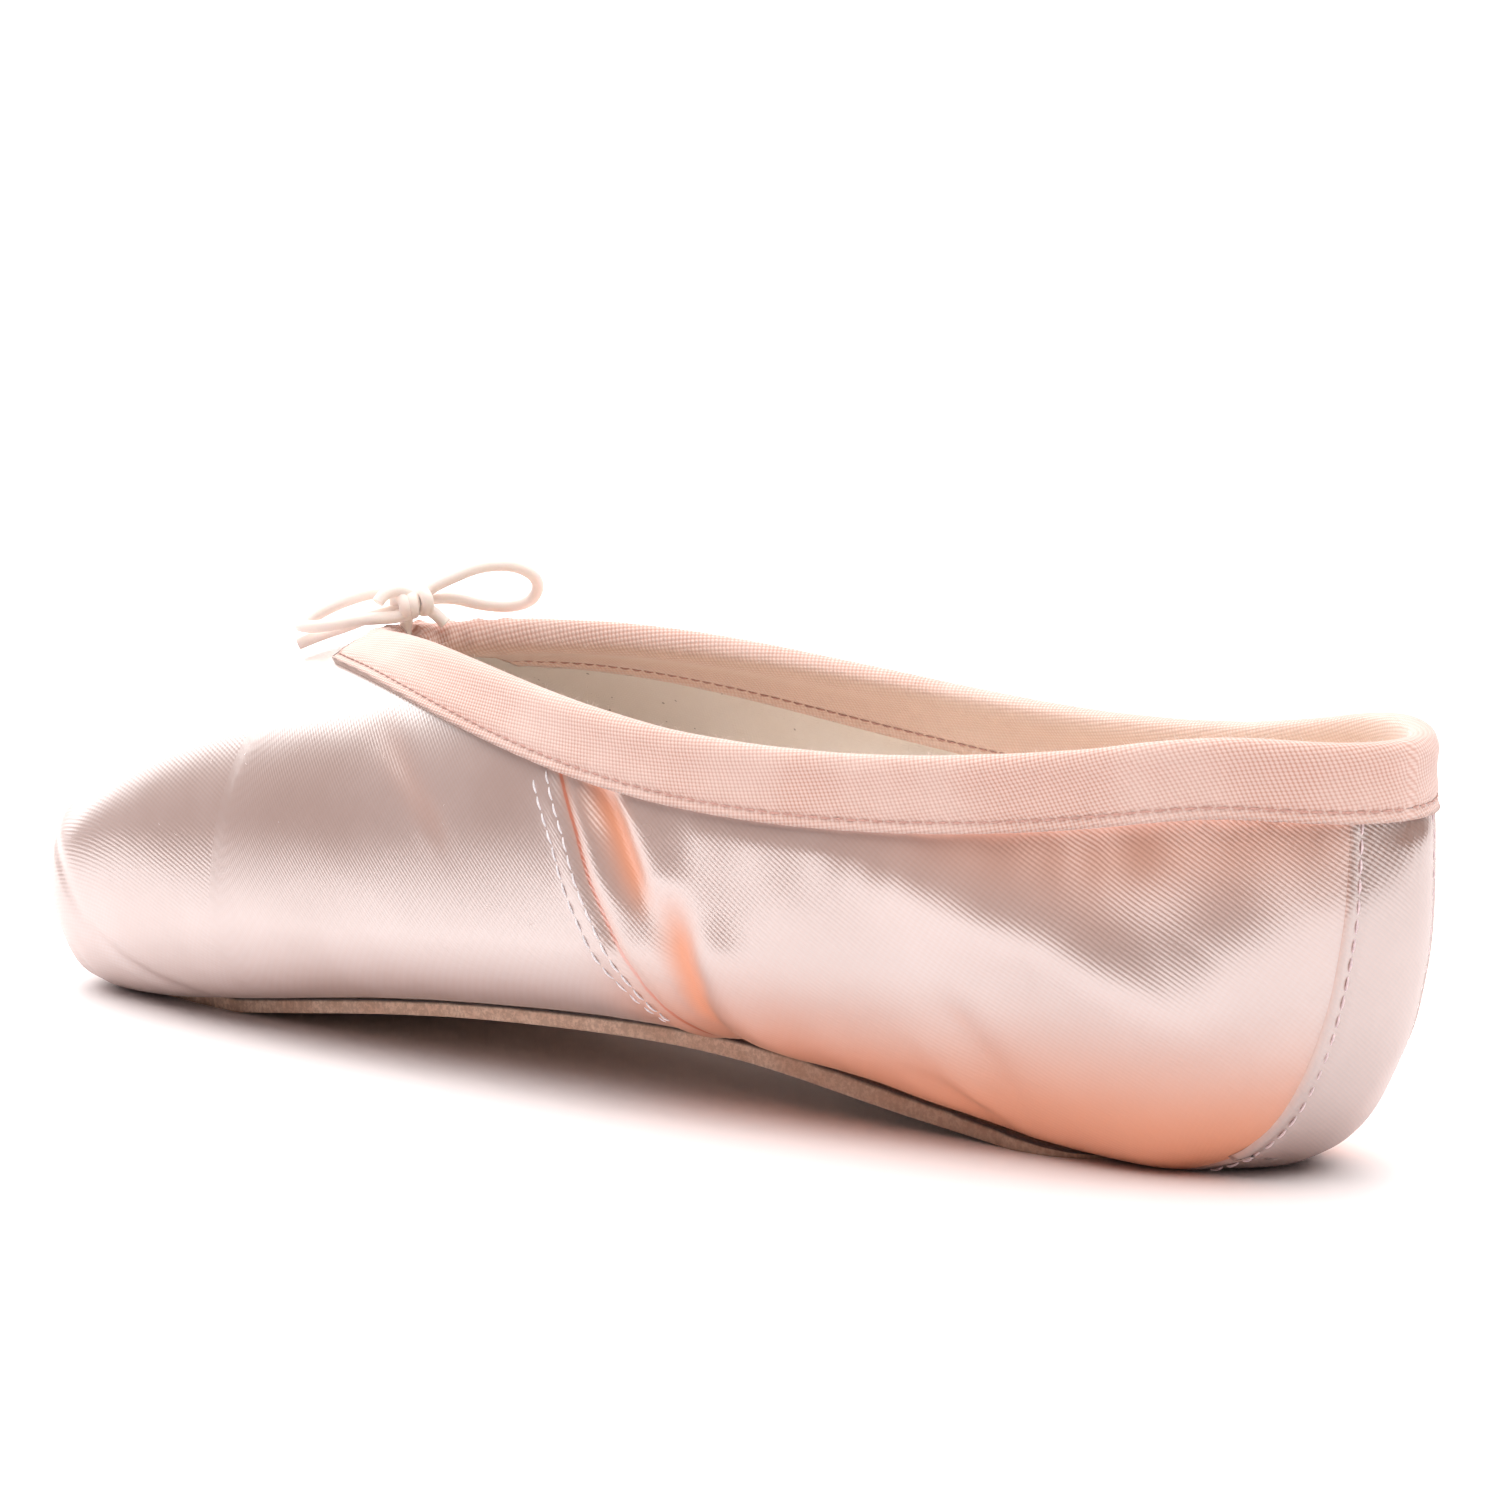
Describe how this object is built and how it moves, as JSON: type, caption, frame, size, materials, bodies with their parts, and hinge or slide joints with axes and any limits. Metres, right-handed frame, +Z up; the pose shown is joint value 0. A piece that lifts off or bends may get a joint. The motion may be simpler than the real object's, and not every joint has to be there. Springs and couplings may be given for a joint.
{
  "type": "pointe shoe",
  "caption": "Ballet pointe shoe with a stiff rounded box, satin upper, low open collar with a tape casing and drawstring bow, and a narrow leather sole",
  "frame": {"origin": "On the floor, at the middle of the shoe's length and width", "axes": "+X points to the toe, +Y to the wearer's left, +Z up"},
  "size_m": [0.2362, 0.0744, 0.0645],
  "materials": {
    "satin": "satin weave",
    "sole_leather": "suede edge",
    "lining": "matte canvas",
    "tape": "matte cotton twill",
    "cord": "braided cotton"
  },
  "bodies": {
    "root": {"upper": "satin", "outsole": "sole_leather", "insole": "lining", "collar_binding": "tape", "drawstring_knot": "cord", "bow_loop_far": "cord", "bow_loop_near": "cord", "drawstring_end_long": "cord", "drawstring_end_short": "cord"}
  },
  "joints": []
}
